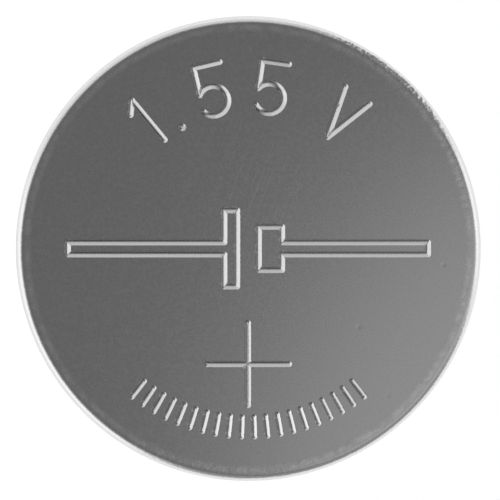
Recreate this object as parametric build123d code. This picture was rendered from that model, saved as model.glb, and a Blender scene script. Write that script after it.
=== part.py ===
from build123d import *
import math
import os

# Silver oxide button cell, size 11.6 x 3.6, in millimetres.
# The negative contact rests on z = 0 and the positive face looks up, with its plus mark towards -Y.

# Whole cell
cell_diameter = 11.6
cell_height = 3.6

# Positive can: one drawn steel cup with its mouth curled in over the gasket
can_sheet = 0.25
can_corner_outside_radius = 0.20
can_corner_inside_radius = 0.06
crimp_inside_radius = 0.45
crimp_lip_length = 0.15
contact_step = 0.20

# Sealing gasket: moulded ring between can and cap
gasket_wall = 0.25
gasket_base = 0.15
gasket_lip = 0.25
gasket_inner_lip_thickness = 0.20
gasket_inner_lip_height = 0.38
gasket_face_recess = 0.08
gasket_face_width = 0.35

# Negative cap: stepped cup of clad sheet with a hemmed rim
cap_height = 2.03
cap_sheet = 0.18
cap_bend_inside_radius = 0.08
hem_gap = 0.04
hem_end_rise = 0.33

# Layers between the cap and the floor of the can
membrane_thickness = 0.12
separator_thickness = 0.25

# Pressed marks in the positive face, outer sizes
mark_depth = 0.045
mark_width = 0.115
mark_edge_margin = 1.05

# Voltage figures along the upper arc
figure_height = 1.40
figure_width = 0.86
figure_gap = 0.38
unit_gap = 0.75
five_bowl_radius = 0.37
five_bowl_opening = 70
one_flag_run = 0.26
one_flag_drop = 0.26
point_diameter = 0.17

# Row of plain strokes along the lower arc
stroke_count = 20
stroke_pitch = 4.0
stroke_length = 0.60
stroke_width = 0.095

# Plus mark above the row of strokes
plus_length = 2.17
plus_gap = 0.18

# Circuit symbol of one cell, drawn in outline across the middle
symbol_edge_margin = 1.25
symbol_gap = 0.42
lead_width = 0.42
long_plate_width = 0.44
long_plate_height = 2.02
short_plate_width = 0.70
short_plate_height = 1.20

# Radii worked out from the sizes above
can_radius = cell_diameter / 2
can_bore_radius = can_radius - can_sheet
crimp_radius = crimp_inside_radius + can_sheet
lip_radius = can_radius - crimp_radius - crimp_lip_length
contact_radius = lip_radius - gasket_face_width
skirt_radius = can_bore_radius - gasket_wall
inner_ply_radius = skirt_radius - cap_sheet - hem_gap
cap_bore_radius = inner_ply_radius - cap_sheet
gasket_mouth_radius = cap_bore_radius - gasket_inner_lip_thickness
mark_outer_radius = can_radius - mark_edge_margin

# Heights worked out from the sizes above
floor_z = cell_height - can_sheet
gasket_top_z = cap_height + gasket_base
cathode_z = gasket_top_z + membrane_thickness
separator_z = gasket_top_z - separator_thickness
shoulder_z = contact_step + can_sheet + gasket_lip
gasket_face_z = contact_step + gasket_face_recess
hem_centre_z = cap_height - cap_sheet - hem_gap / 2
hem_end_z = shoulder_z + hem_end_rise

# Bends of the cap, which the width of its shoulder limits
shoulder_width = inner_ply_radius - contact_radius
cap_inside_bend = min(cap_bend_inside_radius, 0.45 * (shoulder_width - cap_sheet))
cap_outside_bend = cap_inside_bend + cap_sheet


def block(r_low, r_high, z_low, z_high):
    """Half-section of a ring: a rectangle between two radii and two heights."""
    return Pos(r_low, z_low) * Rectangle(r_high - r_low, z_high - z_low, align=(Align.MIN, Align.MIN))


def turned(face):
    """Solid of revolution about Z of a half-section drawn with radius as x and height as y."""
    return revolve(Plane.XZ * face, Axis.Z, 360)


def can_outline(inset, corner_radius, curl_radius):
    """One surface of the can's sheet in half-section, from the axis round the corner to the lip."""
    side = can_radius - inset
    top = cell_height - inset
    mouth = contact_step + inset
    corners = [(0, top), (side, top), (side, mouth), (lip_radius, mouth)]
    return FilletPolyline(*corners, radius=[corner_radius, curl_radius])


def can_sections():
    """Half-sections of the can's sheet and of the hollow inside it."""
    outside = can_outline(0, can_corner_outside_radius, crimp_radius)
    inside = can_outline(can_sheet, can_corner_inside_radius, crimp_inside_radius)
    lip = Line(outside @ 1, inside @ 1)
    middle = Line(outside @ 0, inside @ 0)
    sheet = make_face(Wire([*outside.edges(), lip, *inside.edges(), middle]))
    closing = Polyline((lip_radius, contact_step), (0, contact_step), (0, cell_height))
    envelope = make_face(Wire([*outside.edges(), *closing.edges()]))
    return sheet, envelope - sheet


def cap_sections():
    """Half-sections of the cap's sheet, of the space it holds and of the slit in its hem."""
    rise = FilletPolyline(
        (0, 0),
        (contact_radius, 0),
        (contact_radius, shoulder_z),
        (inner_ply_radius, shoulder_z),
        (inner_ply_radius, hem_centre_z),
        radius=[cap_outside_bend, cap_inside_bend, cap_outside_bend],
    )
    outer_ply_radius = inner_ply_radius + hem_gap
    turn = ThreePointArc(
        (inner_ply_radius, hem_centre_z),
        (inner_ply_radius + hem_gap / 2, hem_centre_z + hem_gap / 2),
        (outer_ply_radius, hem_centre_z),
    )
    fall = Line((outer_ply_radius, hem_centre_z), (outer_ply_radius, hem_end_z))
    outline = Wire([*rise.edges(), turn, fall])
    sheet = make_face(offset(outline, cap_sheet, side=Side.LEFT))
    closing = Polyline((inner_ply_radius, hem_centre_z), (0, hem_centre_z), (0, 0))
    space = make_face(Wire([*rise.edges(), *closing.edges()])) - sheet
    slit = block(inner_ply_radius, outer_ply_radius, hem_end_z, hem_centre_z + hem_gap / 2)
    return sheet, space, slit


def gasket_section(can_hollow, cap_face, cap_space, hem_slit):
    """Half-section of the gasket: what the can leaves free round the cap's wall, shoulder and hem."""
    outside_cap = block(contact_radius, can_bore_radius, gasket_face_z, hem_centre_z) - cap_space
    inner_lip_z = cap_height - gasket_inner_lip_height
    inside_cap = block(gasket_mouth_radius, cap_bore_radius, inner_lip_z, hem_centre_z)
    over_hem = block(gasket_mouth_radius, can_bore_radius, hem_centre_z, gasket_top_z)
    return ((outside_cap + inside_cap + over_hem) & can_hollow) - cap_face - hem_slit


def anode_section(cap_space, gasket_face):
    """Half-section of the anode: the space in the cap up to the separator, less the gasket's lip."""
    above_bend = block(0, cap_bore_radius, shoulder_z + cap_outside_bend, gasket_top_z)
    below_separator = block(0, cap_bore_radius, 0, separator_z)
    return ((cap_space + above_bend) & below_separator) - gasket_face


def groove(start, end, width):
    """Round-ended outline of a straight groove with its outer ends at two points."""
    start, end = Vector(start), Vector(end)
    inset = (end - start).normalized() * (width / 2)
    return make_face(Line(start + inset, end - inset).offset_2d(width / 2))


def pen_stroke(edge):
    """Round-ended outline of a groove whose middle follows an edge."""
    return make_face(edge.offset_2d(mark_width / 2))


def figure_one():
    """Outlines of a figure one and its width."""
    top = figure_height - mark_width / 2
    stem_x = one_flag_run / 2
    stem = Line((stem_x, mark_width / 2), (stem_x, top))
    flag = Line((stem_x, top), (stem_x - one_flag_run, top - one_flag_drop))
    return [pen_stroke(stem), pen_stroke(flag)], one_flag_run + mark_width


def figure_five():
    """Outlines of a figure five and its width."""
    top = figure_height - mark_width / 2
    reach = (figure_width - mark_width) / 2
    middle = (reach - five_bowl_radius, mark_width / 2 + five_bowl_radius)
    half_opening = math.radians(five_bowl_opening / 2)
    bowl = CenterArc(middle, five_bowl_radius, 180 + five_bowl_opening / 2, 360 - five_bowl_opening)
    neck_x = middle[0] - five_bowl_radius * math.cos(half_opening)
    neck_y = middle[1] + five_bowl_radius * math.sin(half_opening)
    neck = Line((neck_x, neck_y), (neck_x, top))
    bar = Line((neck_x, top), (reach, top))
    return [pen_stroke(bowl), pen_stroke(neck), pen_stroke(bar)], figure_width


def unit_sign():
    """Outlines of the sign for volts and its width."""
    reach = (figure_width - mark_width) / 2
    top = figure_height - mark_width / 2
    left = Line((0, mark_width / 2), (-reach, top))
    right = Line((0, mark_width / 2), (reach, top))
    return [pen_stroke(left), pen_stroke(right)], figure_width


def decimal_point():
    """Outline of the decimal point and its width."""
    return [Pos(0, point_diameter / 2) * Circle(point_diameter / 2)], point_diameter


def voltage_marks():
    """The cell's nominal voltage, upright along an arc centred on +Y."""
    signs = [figure_one(), decimal_point(), figure_five(), figure_five(), unit_sign()]
    gaps = [figure_gap, figure_gap, figure_gap, unit_gap]
    base_radius = mark_outer_radius - figure_height
    starts = [sum(width for _, width in signs[:i]) + sum(gaps[:i]) for i in range(len(signs))]
    middle = (starts[-1] + signs[-1][1]) / 2
    marks = []
    for (faces, width), start in zip(signs, starts):
        turn = math.degrees((middle - start - width / 2) / base_radius)
        marks += [Rot(0, 0, turn) * Pos(0, base_radius) * face for face in faces]
    return marks


def row_marks():
    """Equal radial strokes in a row along the lower arc, centred on -Y."""
    inner = (mark_outer_radius - stroke_length, 0)
    outer = (mark_outer_radius, 0)
    first = -90 - stroke_pitch * (stroke_count - 1) / 2
    turns = [first + stroke_pitch * i for i in range(stroke_count)]
    return [Rot(0, 0, turn) * groove(inner, outer, stroke_width) for turn in turns]


def plus_marks():
    """The two bars of the plus mark, which stands above the row of strokes."""
    half = plus_length / 2
    centre_y = stroke_length + plus_gap + half - mark_outer_radius
    across = groove((-half, centre_y), (half, centre_y), mark_width)
    upright = groove((0, centre_y - half), (0, centre_y + half), mark_width)
    return [across, upright]


def outlined(face):
    """Groove just inside the edge of a face."""
    return face - offset(face, -mark_width)


def symbol_marks():
    """Two outlined plates, each with its lead, one plate long and thin and the other short and thick."""
    lead_length = can_radius - symbol_edge_margin - symbol_gap / 2
    marks = []
    for side, width, height in (
        (-1, long_plate_width, long_plate_height),
        (1, short_plate_width, short_plate_height),
    ):
        plate = Pos(side * (symbol_gap + width) / 2, 0) * Rectangle(width, height)
        lead = Pos(side * (symbol_gap + lead_length) / 2, 0) * Rectangle(lead_length, lead_width)
        marks.append(outlined(plate + lead))
    return marks


def face_marks():
    """Tool that presses every mark into the positive face."""
    flat = Sketch() + voltage_marks() + row_marks() + plus_marks() + symbol_marks()
    return extrude(Pos(0, 0, cell_height) * flat, -mark_depth)


can_face, can_hollow = can_sections()
cap_face, cap_space, hem_slit = cap_sections()
gasket_face = gasket_section(can_hollow, cap_face, cap_space, hem_slit)

parts = {
    "positive_can": turned(can_face) - face_marks(),
    "silver_oxide_cathode": turned(block(0, can_bore_radius, cathode_z, floor_z) & can_hollow),
    "barrier_membrane": turned(block(0, can_bore_radius, gasket_top_z, cathode_z)),
    "absorbent_separator": turned(block(0, gasket_mouth_radius, separator_z, gasket_top_z)),
    "zinc_anode": turned(anode_section(cap_space, gasket_face)),
    "negative_cap": turned(cap_face),
    "sealing_gasket": turned(gasket_face),
}

for name, part in parts.items():
    part.label = name
    export_step(part, f"parts/{name}.step")
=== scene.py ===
"""Looks of a silver oxide button cell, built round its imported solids.

The can, the cap and the gasket are turned surfaces that stand for their solids. The can's face is a
height field with its pressed marks, and the pieces sealed inside keep their solids and get a finish.
Every length is in metres, in the frame of the solids: the negative contact rests on z = 0.
"""

import logging
import math
from dataclasses import dataclass, field
from enum import Enum
from typing import Sequence

import bmesh
import bpy
import numpy as np
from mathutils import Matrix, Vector
from mathutils.geometry import delaunay_2d_cdt


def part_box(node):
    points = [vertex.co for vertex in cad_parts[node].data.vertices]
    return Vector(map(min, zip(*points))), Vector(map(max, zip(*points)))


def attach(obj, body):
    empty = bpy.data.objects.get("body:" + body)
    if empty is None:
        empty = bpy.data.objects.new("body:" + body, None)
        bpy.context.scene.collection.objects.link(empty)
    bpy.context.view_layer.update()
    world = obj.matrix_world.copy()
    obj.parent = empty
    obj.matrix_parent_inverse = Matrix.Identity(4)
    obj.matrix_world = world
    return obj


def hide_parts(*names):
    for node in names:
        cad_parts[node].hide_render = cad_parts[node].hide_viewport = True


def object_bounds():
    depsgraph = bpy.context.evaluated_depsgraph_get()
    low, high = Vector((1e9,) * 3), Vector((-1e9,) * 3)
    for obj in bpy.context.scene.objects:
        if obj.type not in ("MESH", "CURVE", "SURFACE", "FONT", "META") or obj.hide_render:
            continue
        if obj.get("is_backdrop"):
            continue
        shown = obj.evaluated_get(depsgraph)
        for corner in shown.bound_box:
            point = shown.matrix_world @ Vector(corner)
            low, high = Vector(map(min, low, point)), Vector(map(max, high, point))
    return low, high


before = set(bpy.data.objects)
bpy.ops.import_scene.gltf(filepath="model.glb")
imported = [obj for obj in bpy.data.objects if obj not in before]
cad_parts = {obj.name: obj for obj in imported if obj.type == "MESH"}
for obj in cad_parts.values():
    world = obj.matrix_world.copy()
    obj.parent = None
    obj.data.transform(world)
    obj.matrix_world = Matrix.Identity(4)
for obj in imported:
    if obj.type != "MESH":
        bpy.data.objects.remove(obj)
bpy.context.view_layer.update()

LOG = logging.getLogger("button_cell")
MM = 0.001
BODY = "root"
# Attribute with each face point's burnishing and painted highlight, negative for painted shade
MARK_LIGHT_AND_SHADE = "pressed"

# Lengths in metres, a share and an area in square metres that count as nothing
WELD = 0.0001 * MM
SAME_POINT = 1e-8
ON_AXIS = 1e-9
LEAST_LENGTH = 1e-12
LEAST_SHARE = 1e-9
FLAT_AREA = 1e-14

Socket = bpy.types.NodeSocket
Feed = Socket | float | tuple[float, ...]


class Slot(Enum):
    """Material slots of the record."""

    CAN = "nickel_plated_steel"
    GASKET = "nylon_gasket"
    CAP = "clad_cap_sheet"


class Maths(Enum):
    """Arithmetic that the finishes use."""

    ADD = "ADD"
    TAKE = "SUBTRACT"
    TIMES = "MULTIPLY"
    LARGER = "MAXIMUM"


class Effect(Enum):
    """Shader groups that more than one finish uses."""

    GRAIN = "sheet_grain"
    HAIRLINES = "hairlines"
    SPECKS = "handling_specks"


# Node recipes


class Recipe:
    """Adds nodes to one node tree and joins them, so that a finish reads from top to bottom."""

    def __init__(self, tree: bpy.types.NodeTree) -> None:
        """Starts with an empty tree.

        Args:
            tree: The node tree of a material, a world, a lamp or a group.
        """
        self.tree = tree
        tree.nodes.clear()

    def add(self, kind: str, **settings: object) -> bpy.types.Node:
        """Adds a node.

        Args:
            kind: The node's type, without its ShaderNode prefix where it has one.
            **settings: Properties of the node and their values.

        Returns:
            The new node.
        """
        known = kind if kind.startswith("Node") else f"ShaderNode{kind}"
        node = self.tree.nodes.new(known)
        for name, value in settings.items():
            setattr(node, name, value)
        return node

    def feed(self, socket: Socket, value: Feed) -> None:
        """Links a socket to another one, or sets it to a constant.

        Args:
            socket: The input that is fed.
            value: An output socket, or the constant.
        """
        if isinstance(value, bpy.types.NodeSocket):
            self.tree.links.new(value, socket)
        else:
            socket.default_value = value

    def maths(self, kind: Maths, first: Feed, second: Feed) -> Socket:
        """Works out one sum.

        Args:
            kind: Which arithmetic.
            first: The first operand.
            second: The second operand.

        Returns:
            The result's socket.
        """
        node = self.add("Math", operation=kind.value)
        self.feed(node.inputs[0], first)
        self.feed(node.inputs[1], second)
        return node.outputs[0]

    def spread(
        self, value: Feed, source: tuple[Feed, Feed], target: tuple[Feed, Feed] = (0.0, 1.0)
    ) -> Socket:
        """Carries a value from one range to another, smoothly and clamped to the ends.

        Args:
            value: The value.
            source: The range that it comes from.
            target: The range that it goes to, from 0 to 1 unless another is given.

        Returns:
            The carried value's socket.
        """
        node = self.add("MapRange", interpolation_type="SMOOTHSTEP")
        sockets = ("Value", "From Min", "From Max", "To Min", "To Max")
        for name, feed in zip(sockets, (value, *source, *target)):
            self.feed(node.inputs[name], feed)
        return node.outputs["Result"]

    def place(self, vector: Feed, turn: float = 0.0, stretch: Sequence[float] = (1, 1, 1)) -> Socket:
        """Turns coordinates about the cell's axis and then stretches them.

        Args:
            vector: The coordinates.
            turn: The turn in degrees.
            stretch: A factor for each axis.

        Returns:
            The new coordinates' socket.
        """
        turned = self.add("Mapping", vector_type="POINT")
        self.feed(turned.inputs["Vector"], vector)
        turned.inputs["Rotation"].default_value = (0, 0, math.radians(turn))
        stretched = self.add("VectorMath", operation="MULTIPLY")
        self.feed(stretched.inputs[0], turned.outputs[0])
        stretched.inputs[1].default_value = tuple(stretch)
        return stretched.outputs[0]

    def noise(self, vector: Feed, scale: Feed, detail: float = 2.0, rough: float = 0.5) -> Socket:
        """Adds soft noise between 0 and 1.

        Args:
            vector: The coordinates.
            scale: Features per metre.
            detail: How many finer layers it has.
            rough: How strong each finer layer is.

        Returns:
            The noise's socket.
        """
        node = self.add("TexNoise")
        self.feed(node.inputs["Vector"], vector)
        self.feed(node.inputs["Scale"], scale)
        node.inputs["Detail"].default_value = detail
        node.inputs["Roughness"].default_value = rough
        return node.outputs[0]

    def cells(self, vector: Feed, scale: Feed) -> bpy.types.Node:
        """Adds scattered cells.

        Args:
            vector: The coordinates.
            scale: Cells per metre.

        Returns:
            The node, with outputs Distance and Color.
        """
        node = self.add("TexVoronoi", feature="F1")
        self.feed(node.inputs["Vector"], vector)
        self.feed(node.inputs["Scale"], scale)
        return node

    def parts(self, kind: str, value: Feed) -> bpy.types.NodeOutputs:
        """Splits a vector or a colour.

        Args:
            kind: The type of the node that splits it.
            value: The vector or colour.

        Returns:
            The outputs, one for each part.
        """
        node = self.add(kind)
        self.feed(node.inputs[0], value)
        return node.outputs

    def tint(self, mask: Feed, low: Sequence[float], high: Sequence[float]) -> Socket:
        """Mixes two constant colours by the share of the second one."""
        return self.cover(mask, (*low, 1), high)

    def cover(self, mask: Feed, under: Feed, over: Sequence[float]) -> Socket:
        """Lays one colour over another by a mask.

        Args:
            mask: The share of the upper colour.
            under: The lower colour, with its alpha.
            over: The upper colour.

        Returns:
            The colour's socket.
        """
        node = self.add("Mix", data_type="RGBA")
        self.feed(node.inputs[0], mask)
        self.feed(node.inputs[6], under)
        node.inputs[7].default_value = (*over, 1)
        return node.outputs[2]

    def effect(self, which: Effect, **values: Feed) -> bpy.types.Node:
        """Places a shared shader group.

        Args:
            which: The effect.
            **values: Its inputs by name, with an underscore for a space.

        Returns:
            The group's node.
        """
        node = self.add("Group")
        node.node_tree = bpy.data.node_groups[which.value]
        for name, value in values.items():
            self.feed(node.inputs[name.replace("_", " ")], value)
        return node

    def radius(self, vector: Feed, centre: Sequence[float] = (0, 0)) -> Socket:
        """Gives the distance from an upright axis at some coordinates.

        Args:
            vector: The coordinates.
            centre: Where the axis stands.

        Returns:
            The distance's socket.
        """
        node = self.add("VectorMath", operation="DISTANCE")
        self.feed(node.inputs[0], self.place(vector, stretch=(1, 1, 0)))
        node.inputs[1].default_value = (*centre, 0)
        return node.outputs["Value"]

    def facing(self, vector: Feed, turn: float) -> Socket:
        """Gives how far coordinates lie towards one side: 1 there, 0 beside it and -1 opposite.

        Args:
            vector: The coordinates.
            turn: The side's angle about the cell's axis, in degrees.

        Returns:
            The cosine of the angle between the two.
        """
        level = self.add("VectorMath", operation="NORMALIZE")
        self.feed(level.inputs[0], self.place(vector, stretch=(1, 1, 0)))
        towards = self.add("VectorMath", operation="DOT_PRODUCT")
        self.feed(towards.inputs[0], level.outputs[0])
        angle = math.radians(turn)
        towards.inputs[1].default_value = (math.cos(angle), math.sin(angle), 0)
        return towards.outputs["Value"]


@dataclass(frozen=True)
class EffectGroups:
    """Builds the shader groups that several finishes share."""

    grain_draw: float = 0.04
    grain_detail: float = 1.5
    grain_tones: tuple[float, float] = (0.25, 0.75)
    line_draw: float = 0.02
    line_roughness: float = 0.65
    line_crest: float = 0.74
    line_gain: float = 0.20
    line_blend: float = 0.05
    speck_dot: tuple[float, float] = (0.05, 0.14)

    def build(self) -> None:
        """Makes the three groups."""
        self.grain()
        self.hairlines()
        self.specks()

    @staticmethod
    def start(which: Effect, inputs: Sequence[str], outputs: Sequence[str]) -> tuple[Recipe, dict]:
        """Makes an empty group with named sockets.

        Args:
            which: The effect.
            inputs: Names of its number inputs, beside the Vector that each has.
            outputs: Names of its outputs.

        Returns:
            The group's recipe, and its input and output sockets by name.
        """
        tree = bpy.data.node_groups.new(which.value, "ShaderNodeTree")
        recipe = Recipe(tree)
        tree.interface.new_socket("Vector", in_out="INPUT", socket_type="NodeSocketVector")
        for name in inputs:
            tree.interface.new_socket(name, in_out="INPUT", socket_type="NodeSocketFloat")
        for name in outputs:
            tree.interface.new_socket(name, in_out="OUTPUT", socket_type="NodeSocketFloat")
        given = recipe.add("NodeGroupInput").outputs
        wanted = recipe.add("NodeGroupOutput").inputs
        sockets = {name: given[name] for name in ("Vector", *inputs)}
        sockets.update({name: wanted[name] for name in outputs})
        return recipe, sockets

    def grain(self) -> None:
        """Sheet grain: fine noise drawn out along the cell's axis, which is draw lines on a wall."""
        recipe, at = self.start(Effect.GRAIN, ("Scale", "Depth"), ("Height", "Tone"))
        drawn = recipe.place(at["Vector"], stretch=(1, 1, self.grain_draw))
        fine = recipe.noise(drawn, at["Scale"], detail=self.grain_detail)
        recipe.feed(at["Height"], recipe.maths(Maths.TIMES, fine, at["Depth"]))
        recipe.feed(at["Tone"], recipe.spread(fine, self.grain_tones))

    def hairlines(self) -> None:
        """Hairlines: noise drawn out along one direction, of which only the crests are kept.

        A crest is full from the crest level less the share times the gain, and fades in below it.
        """
        recipe, at = self.start(Effect.HAIRLINES, ("Scale", "Share", "Zone"), ("Mask",))
        drawn = recipe.place(at["Vector"], stretch=(1, self.line_draw, 1))
        lines = recipe.noise(drawn, at["Scale"], rough=self.line_roughness)
        gain = recipe.maths(Maths.TIMES, at["Share"], self.line_gain)
        top = recipe.maths(Maths.TAKE, self.line_crest, gain)
        crest = recipe.spread(lines, (recipe.maths(Maths.TAKE, top, self.line_blend), top))
        recipe.feed(at["Mask"], recipe.maths(Maths.TIMES, crest, at["Zone"]))

    def specks(self) -> None:
        """Specks: a small soft dot in the middle of a share of scattered cells."""
        recipe, at = self.start(Effect.SPECKS, ("Scale", "Share"), ("Mask",))
        cells = recipe.cells(at["Vector"], at["Scale"])
        dot = recipe.spread(cells.outputs["Distance"], self.speck_dot, (1.0, 0.0))
        chance = recipe.parts("SeparateColor", cells.outputs["Color"])
        least = recipe.maths(Maths.TAKE, 1.0, at["Share"])
        kept = recipe.spread(chance[0], (least, 1.0))
        recipe.feed(at["Mask"], recipe.maths(Maths.TIMES, dot, kept))


# Finishes


class Finish:
    """What every finish shares: a material with one surface shader and a bump."""

    def start(self, name: str) -> tuple[bpy.types.Material, Recipe, bpy.types.Node, Socket]:
        """Makes a material with a surface shader.

        Args:
            name: The material's name.

        Returns:
            The material, its recipe, its surface shader and the object coordinates.
        """
        material = bpy.data.materials.new(name)
        material.use_nodes = True
        recipe = Recipe(material.node_tree)
        surface = recipe.add("BsdfPrincipled")
        output = recipe.add("OutputMaterial")
        recipe.feed(output.inputs["Surface"], surface.outputs[0])
        coordinates = recipe.add("TexCoord").outputs["Object"]
        return material, recipe, surface, coordinates

    def emboss(self, recipe: Recipe, surface: bpy.types.Node, height: Feed) -> None:
        """Feeds a height in metres to the surface as a bump.

        Args:
            recipe: The material's recipe.
            surface: The surface shader.
            height: The height's socket.
        """
        bump = recipe.add("Bump")
        bump.inputs["Strength"].default_value = 1.0
        bump.inputs["Distance"].default_value = 1.0
        recipe.feed(bump.inputs["Height"], height)
        recipe.feed(surface.inputs["Normal"], bump.outputs[0])


@dataclass(frozen=True)
class PlatedSteel(Finish):
    """Satin nickel plating on drawn steel.

    The pressed marks are lighter, partly from burnishing and partly painted highlight, and carry
    painted shade on their bottoms and steep walls. The corner is lighter from wear and painted highlight.
    """

    low: tuple[float, float, float] = (0.69, 0.69, 0.69)
    high: tuple[float, float, float] = (0.71, 0.71, 0.71)
    # The marks' lighter colour: partly burnishing, partly painted highlight
    pressed: tuple[float, float, float] = (0.95, 0.95, 0.95)
    # Painted shade on the marks' bottoms and steep walls and just past their edge
    painted_shade: tuple[float, float, float] = (0.36, 0.36, 0.36)
    roughness: tuple[float, float] = (0.25, 0.28)
    pressed_roughness: float = 0.30
    pressed_share: tuple[float, float] = (0.05, 0.6)
    grain_size: float = 0.085 * MM
    grain_depth: float = 0.0005 * MM
    # Lighter corner colour: partly wear, partly painted highlight
    wear_and_highlight: tuple[float, float, float] = (0.92, 0.92, 0.92)
    corner_from: tuple[float, float] = (5.61 * MM, 3.36 * MM)
    corner_blend: float = 0.05 * MM
    flecked: tuple[float, float, float] = (0.90, 0.90, 0.90)
    fleck_size: float = 0.30 * MM
    fleck_inner: tuple[float, float] = (5.38 * MM, 5.52 * MM)
    fleck_outer: tuple[float, float] = (5.54 * MM, 5.64 * MM)
    fleck_tones: tuple[float, float] = (0.40, 0.60)
    fleck_least: float = 0.35
    peel_size: float = 0.12 * MM
    peel_depth: float = 0.004 * MM
    peel_reach: tuple[float, float] = (5.38 * MM, 5.56 * MM)
    nick_size: float = 0.12 * MM
    nick_depth: float = 0.018 * MM
    nick_turn: float = 50.0
    nick_spread: tuple[float, float] = (0.92, 0.985)
    scratch_turn: float = 20.0
    scratch_size: float = 0.06 * MM
    scratch_depth: float = 0.0002 * MM
    scratch_centre: tuple[float, float] = (0.1 * MM, 1.4 * MM)
    scratch_reach: tuple[float, float] = (0.5 * MM, 2.4 * MM)
    scratch_share: float = 0.6
    scratch_elsewhere: float = 0.12
    scratch_roughness: float = 0.03
    speck_pitch: float = 0.70 * MM
    speck_depth: float = 0.0020 * MM
    speck_share: float = 0.35

    def material(self) -> bpy.types.Material:
        """Makes the plating: grain, edge peel, hairlines, specks, and marks that burnishing and painted
        highlight lighten and painted shade darkens.

        Returns:
            The material.
        """
        material, recipe, surface, coordinates = self.start("satin_nickel_plate")
        grain = recipe.effect(
            Effect.GRAIN, Vector=coordinates, Scale=1 / self.grain_size, Depth=self.grain_depth
        )
        lines = self.hairlines(recipe, coordinates)
        corner = self.corner(recipe, coordinates)
        mark = recipe.add("Attribute", attribute_name=MARK_LIGHT_AND_SHADE, attribute_type="GEOMETRY")
        pressed = mark.outputs["Fac"]

        plain = recipe.tint(grain.outputs["Tone"], self.low, self.high)
        colour = self.layered(recipe, coordinates, plain, pressed, corner)
        recipe.feed(surface.inputs["Base Color"], colour)
        gloss = recipe.spread(grain.outputs["Tone"], (0.0, 1.0), self.roughness)
        dulling = recipe.maths(Maths.TIMES, lines, self.scratch_roughness)
        target = (recipe.maths(Maths.ADD, gloss, dulling), self.pressed_roughness)
        recipe.feed(surface.inputs["Roughness"], recipe.spread(pressed, self.pressed_share, target))
        surface.inputs["Metallic"].default_value = 1.0

        raised = self.raised(recipe, coordinates, grain.outputs["Height"], corner)
        self.emboss(recipe, surface, self.worn_down(recipe, coordinates, raised, lines))
        return material

    def hairlines(self, recipe: Recipe, coordinates: Socket) -> Socket:
        """Makes the mask of handling lines, which gather round one place on the face.

        Args:
            recipe: The material's recipe.
            coordinates: The object coordinates.

        Returns:
            The mask's socket.
        """
        turned = recipe.place(coordinates, turn=self.scratch_turn)
        handled = recipe.radius(coordinates, self.scratch_centre)
        zone = recipe.spread(handled, self.scratch_reach, (1.0, self.scratch_elsewhere))
        lines = recipe.effect(
            Effect.HAIRLINES,
            Vector=turned,
            Scale=1 / self.scratch_size,
            Share=self.scratch_share,
            Zone=zone,
        )
        return lines.outputs[0]

    def layered(
        self, recipe: Recipe, coordinates: Socket, plain: Socket, pressed: Socket, corner: Socket
    ) -> Socket:
        """Lays flecks, the marks' lighter parts (burnishing and painted highlight), their painted shade
        and the corner's wear and painted highlight over the plating.

        Args:
            recipe: The material's recipe.
            coordinates: The object coordinates.
            plain: The plating's own colour.
            pressed: How far burnishing and painted highlight lighten the marks, negative for painted shade.
            corner: The mask of the rounded corner.

        Returns:
            The colour's socket.
        """
        least, full = self.pressed_share
        away = recipe.radius(coordinates)
        inner = recipe.spread(away, self.fleck_inner)
        outer = recipe.spread(away, self.fleck_outer, (1.0, 0.0))
        noise = recipe.noise(coordinates, 1 / self.fleck_size, detail=3.0)
        patches = recipe.spread(noise, self.fleck_tones, (self.fleck_least, 1.0))
        ring = recipe.maths(Maths.TIMES, inner, outer)
        layers = (
            (recipe.maths(Maths.TIMES, ring, patches), self.flecked),
            # Lighter marks, partly burnishing and partly painted highlight
            (recipe.spread(pressed, (least, full)), self.pressed),
            # Painted shade in the marks
            (recipe.spread(pressed, (-full, -least), (1.0, 0.0)), self.painted_shade),
            # The corner, lighter from wear and painted highlight
            (corner, self.wear_and_highlight),
        )
        colour = plain
        for mask, over in layers:
            colour = recipe.cover(mask, colour, over)
        return colour

    def raised(self, recipe: Recipe, coordinates: Socket, grain: Socket, corner: Socket) -> Socket:
        """Adds the edge peel and the corner's nicks to the grain.

        Peel is noise whose depth grows towards the edge of the face. Nicks are coarser noise on the
        corner, whose depth grows towards one side.

        Args:
            recipe: The material's recipe.
            coordinates: The object coordinates.
            grain: The grain's height.
            corner: The mask of the rounded corner.

        Returns:
            The socket of the height in metres.
        """
        peel = recipe.noise(coordinates, 1 / self.peel_size)
        edge = recipe.spread(recipe.radius(coordinates), self.peel_reach, (0.0, self.peel_depth))
        height = recipe.maths(Maths.ADD, grain, recipe.maths(Maths.TIMES, peel, edge))
        nicks = recipe.noise(coordinates, 1 / self.nick_size, detail=1.0)
        side = recipe.facing(coordinates, self.nick_turn)
        depth = recipe.spread(side, self.nick_spread, (0.0, self.nick_depth))
        nicked = recipe.maths(Maths.TIMES, corner, depth)
        return recipe.maths(Maths.ADD, height, recipe.maths(Maths.TIMES, nicks, nicked))

    def worn_down(self, recipe: Recipe, coordinates: Socket, height: Socket, lines: Socket) -> Socket:
        """Takes the handling lines and the specks away from a height.

        Args:
            recipe: The material's recipe.
            coordinates: The object coordinates.
            height: The height in metres.
            lines: The mask of handling lines.

        Returns:
            The socket of the new height.
        """
        specks = recipe.effect(
            Effect.SPECKS, Vector=coordinates, Scale=1 / self.speck_pitch, Share=self.speck_share
        )
        cut = recipe.maths(Maths.TIMES, lines, self.scratch_depth)
        dot = recipe.maths(Maths.TIMES, specks.outputs[0], self.speck_depth)
        return recipe.maths(Maths.TAKE, recipe.maths(Maths.TAKE, height, cut), dot)

    def corner(self, recipe: Recipe, coordinates: Socket) -> Socket:
        """Makes a mask of the rounded corner between face and wall.

        Args:
            recipe: The material's recipe.
            coordinates: The object coordinates.

        Returns:
            The mask's socket.
        """
        radius, height = self.corner_from
        outer = recipe.spread(recipe.radius(coordinates), (radius, radius + self.corner_blend))
        level = recipe.parts("SeparateXYZ", coordinates)["Z"]
        upper = recipe.spread(level, (height, height + self.corner_blend))
        return recipe.maths(Maths.TIMES, outer, upper)


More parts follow.
